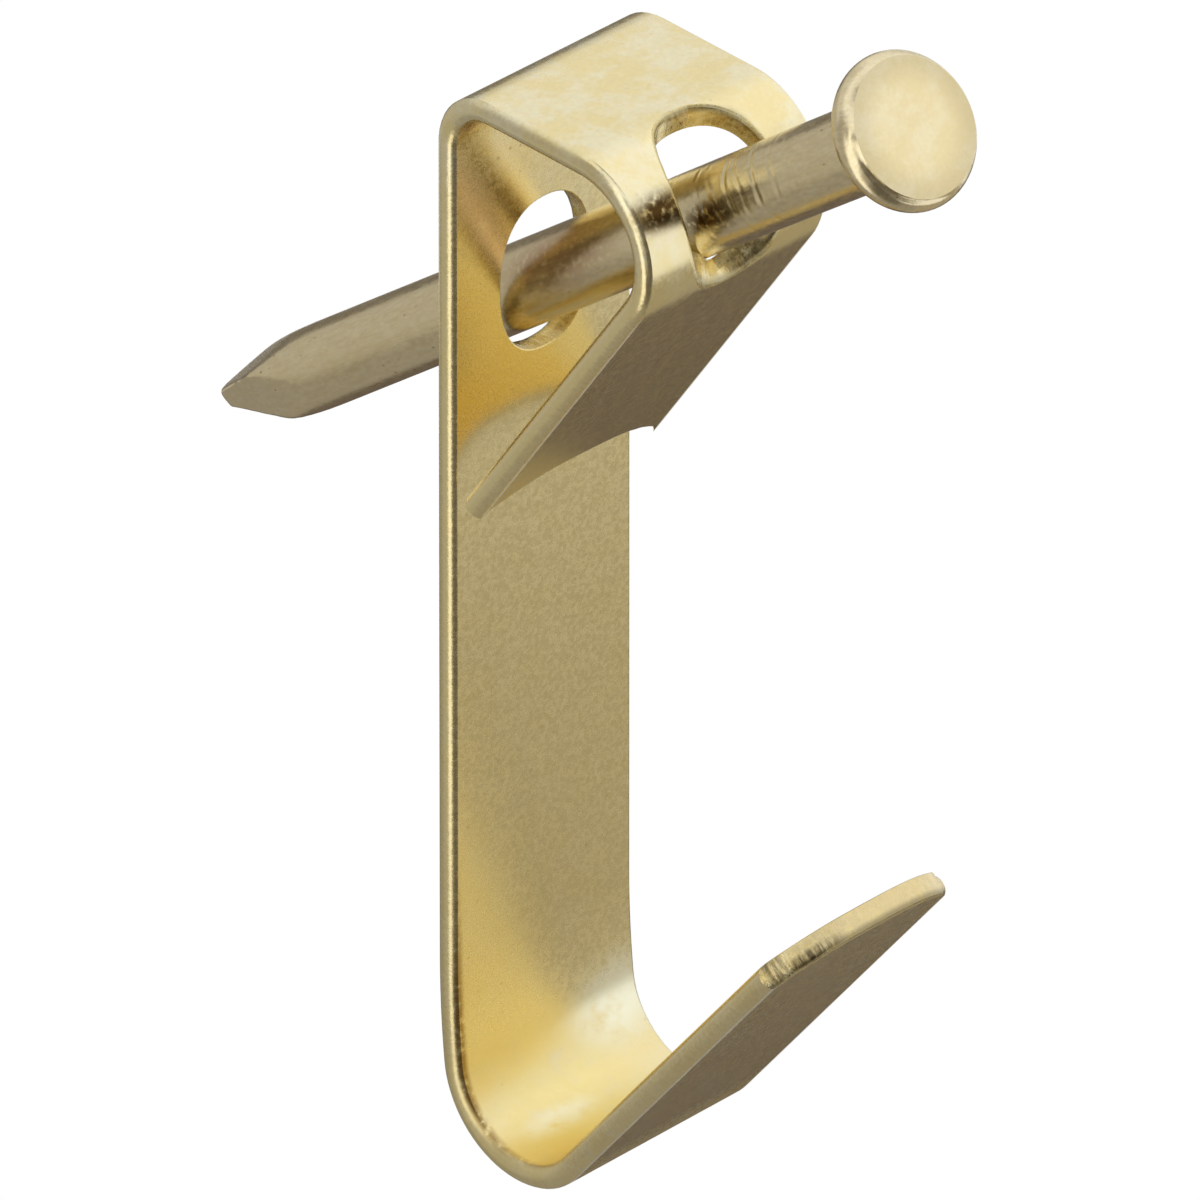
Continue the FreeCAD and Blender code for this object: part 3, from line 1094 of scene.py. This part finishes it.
# %% [markdown]
# A white studio with grey cards
#
# Metal shows what stands round it. The light on the hook is like that in a half-open tent: white from the
# right and from behind, a tall strip light and a small white card on the left, a grey table below, and greyer
# walls on the camera's side. So the world and the floor are white, and cards that only reflections can see
# stand round the hook.

# %% World and floor
scene = bpy.context.scene
scene.view_settings.view_transform = "Standard"
world = bpy.data.worlds.new("white_tent")
scene.world = world
world.use_nodes = True
sky = world.node_tree
background = sky.nodes["Background"]
background.inputs["Color"].default_value = (1, 1, 1, 1)
light_path = add(sky, "ShaderNodeLightPath")
seen = add(sky, "ShaderNodeMath", operation="ADD")
mirrored = add(sky, "ShaderNodeMath", operation="ADD", use_clamp=True)
level = add(sky, "ShaderNodeMapRange")
level.inputs["To Min"].default_value = 1.08
level.inputs["To Max"].default_value = 1.0
join(
    sky,
    (light_path, "Is Camera Ray", seen, 0),
    (light_path, "Is Glossy Ray", seen, 1),
    (seen, "Value", mirrored, 0),
    (light_path, "Is Transmission Ray", mirrored, 1),
    (mirrored, "Value", level, "Value"),
    (level, "Result", background, "Strength"),
)

floor_depth = -0.16
bpy.ops.object.select_all(action="DESELECT")
bpy.ops.mesh.primitive_plane_add(size=8, location=(0, 0, floor_depth))
floor = bpy.context.object
floor.name = "pale_floor"
floor_paint = bpy.data.materials.new("pale_floor")
floor_paint.use_nodes = True
matt = floor_paint.node_tree.nodes["Principled BSDF"]
matt.inputs["Base Color"].default_value = (0.93, 0.93, 0.93, 1)
matt.inputs["Roughness"].default_value = 1.0
matt.inputs["Specular IOR Level"].default_value = 0.0
floor.data.materials.append(floor_paint)
print("floor lies", round(-floor_depth / MILLIMETRE), "mm below the origin")


# %% Cards for the reflections
def card(name, middle, width, height, facing, colour):
    """Adds a flat studio card in millimetres, which faces a point and shines evenly in a given colour."""
    bpy.ops.object.select_all(action="DESELECT")
    bpy.ops.mesh.primitive_plane_add(size=1)
    board = start_piece(name)
    turn = (Vector(facing) - Vector(middle)).to_track_quat("Z", "Y").to_matrix()
    bpy.ops.transform.resize(value=(width, height, 1))
    press(lambda place: (turn @ place + Vector(middle)) * MILLIMETRE)
    bpy.ops.object.mode_set(mode="OBJECT")
    paint = bpy.data.materials.new(name)
    paint.use_nodes = True
    tree = paint.node_tree
    tree.nodes.remove(tree.nodes["Principled BSDF"])
    glow = add(tree, "ShaderNodeEmission")
    glow.inputs["Color"].default_value = (*colour, 1)
    join(tree, (glow, "Emission", tree.nodes["Material Output"], "Surface"))
    board.data.materials.append(paint)
    board.visible_camera = False
    board.visible_diffuse = False
    board.visible_shadow = False


cards = (
    ("table_near", (-26, 100, -80), 92, 420, (-26, 100, 0), (0.32, 0.30, 0.265)),
    ("table_left", (-176, 100, -80), 208, 420, (-176, 100, 0), (0.46, 0.44, 0.385)),
    ("table_front", (65, -54, -80), 90, 112, (65, -54, 0), (0.39, 0.35, 0.267)),
    ("table_dark", (76, 61, -79.5), 128, 118, (76, 61, 0), (0.136, 0.11, 0.09)),
    ("table_shade", (-95, -95, -79.5), 150, 90, (-95, -95, 0), (0.14, 0.125, 0.10)),
    ("back_wall_low", (-45, 140, -10), 240, 140, (-45, 0, -10), (0.48, 0.46, 0.42)),
    ("back_wall_high", (-45, 140, 125), 240, 130, (-45, 0, 125), (0.66, 0.645, 0.61)),
    ("right_shade", (82, 138, -31), 104, 98, (82, 0, -31), (0.18, 0.16, 0.135)),
    ("right_wall_low", (170, 140, -10), 190, 140, (170, 0, -10), (0.66, 0.645, 0.60)),
    ("right_wall_high", (170, 140, 125), 190, 130, (170, 0, 125), (0.90, 0.89, 0.87)),
    ("soft_box", (150, -20, 150), 170, 150, (0, -5, 5), (1.1, 1.09, 1.06)),
    ("left_wall", (-160, -10, 45), 300, 250, (0, -10, 45), (0.40, 0.38, 0.35)),
    ("front_wall", (-70, -160, 45), 180, 250, (-70, 0, 45), (0.27, 0.25, 0.22)),
    ("camera_flag", (-34, -66, -35), 42, 120, (0, 0, -35), (0.13, 0.115, 0.095)),
    ("strip_light", (-69, -20, 0), 30, 160, (0, 0, 0), (1.3, 1.27, 1.2)),
    ("rim_light", (-120, -62, 39), 46, 60, (0, -22, 17), (1.1, 1.08, 1.02)),
    ("ceiling", (0, -20, 190), 150, 150, (0, -20, 0), (0.42, 0.40, 0.37)),
)
for values in cards:
    card(*values)
print(len(cards), "cards round the hook")

# %% [markdown]
# The camera
#
# The picture has almost no perspective, so the camera has a very long lens and stands two metres away. It
# looks down at the hook's left front corner.

# %% Place the camera
camera_azimuth = math.radians(-44.05)
camera_height = math.radians(31.74)
view_width = 47.06
lens = 1700.0
sensor = 36.0
aim_right, aim_up = 2.928, -12.393

back = Vector((
    math.sin(camera_azimuth) * math.cos(camera_height),
    -math.cos(camera_azimuth) * math.cos(camera_height),
    math.sin(camera_height),
))
right = Vector((math.cos(camera_azimuth), math.sin(camera_azimuth), 0))
up = back.cross(right)
aim = right * aim_right + up * aim_up
distance = view_width * lens / sensor

bpy.ops.object.camera_add()
camera = bpy.context.object
camera.data.sensor_width = sensor
camera.data.lens = lens
camera.data.clip_end = 10
camera.location = (aim + back * distance) * MILLIMETRE
camera.rotation_euler = Matrix((right, up, back)).transposed().to_euler()
scene.camera = camera
print("camera", round(distance / 1000, 3), "m away, right", right, "up", up)
